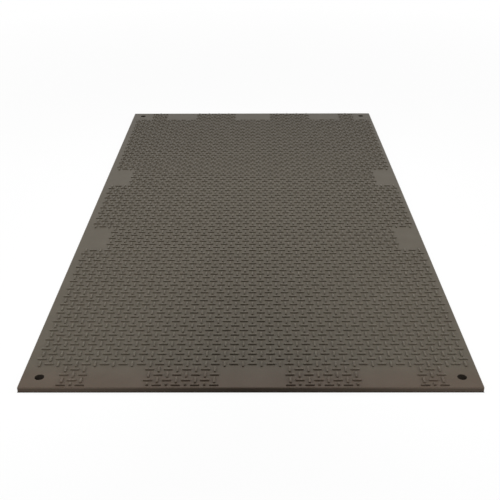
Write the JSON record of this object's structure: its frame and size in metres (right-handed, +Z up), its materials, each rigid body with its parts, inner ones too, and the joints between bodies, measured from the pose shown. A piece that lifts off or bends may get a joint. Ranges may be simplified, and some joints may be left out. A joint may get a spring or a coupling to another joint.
{
  "type": "ground protection mat",
  "caption": "Flat moulded plastic sheet that spreads the load of wheels and feet on soft ground, with a raised chequer tread, smooth pads along its edges and a through hole in each corner.",
  "frame": {"origin": "middle of the underside, where the mat lies on the ground", "axes": "+X across the mat, +Y along its length, +Z up out of the tread"},
  "size_m": [1.2192, 2.4384, 0.015],
  "materials": {
    "polyethylene": "compression-moulded recycled polyethylene, dark grey-brown, matte with a faint cloudy mottling"
  },
  "bodies": {
    "root": {"mat": "polyethylene"}
  },
  "joints": []
}
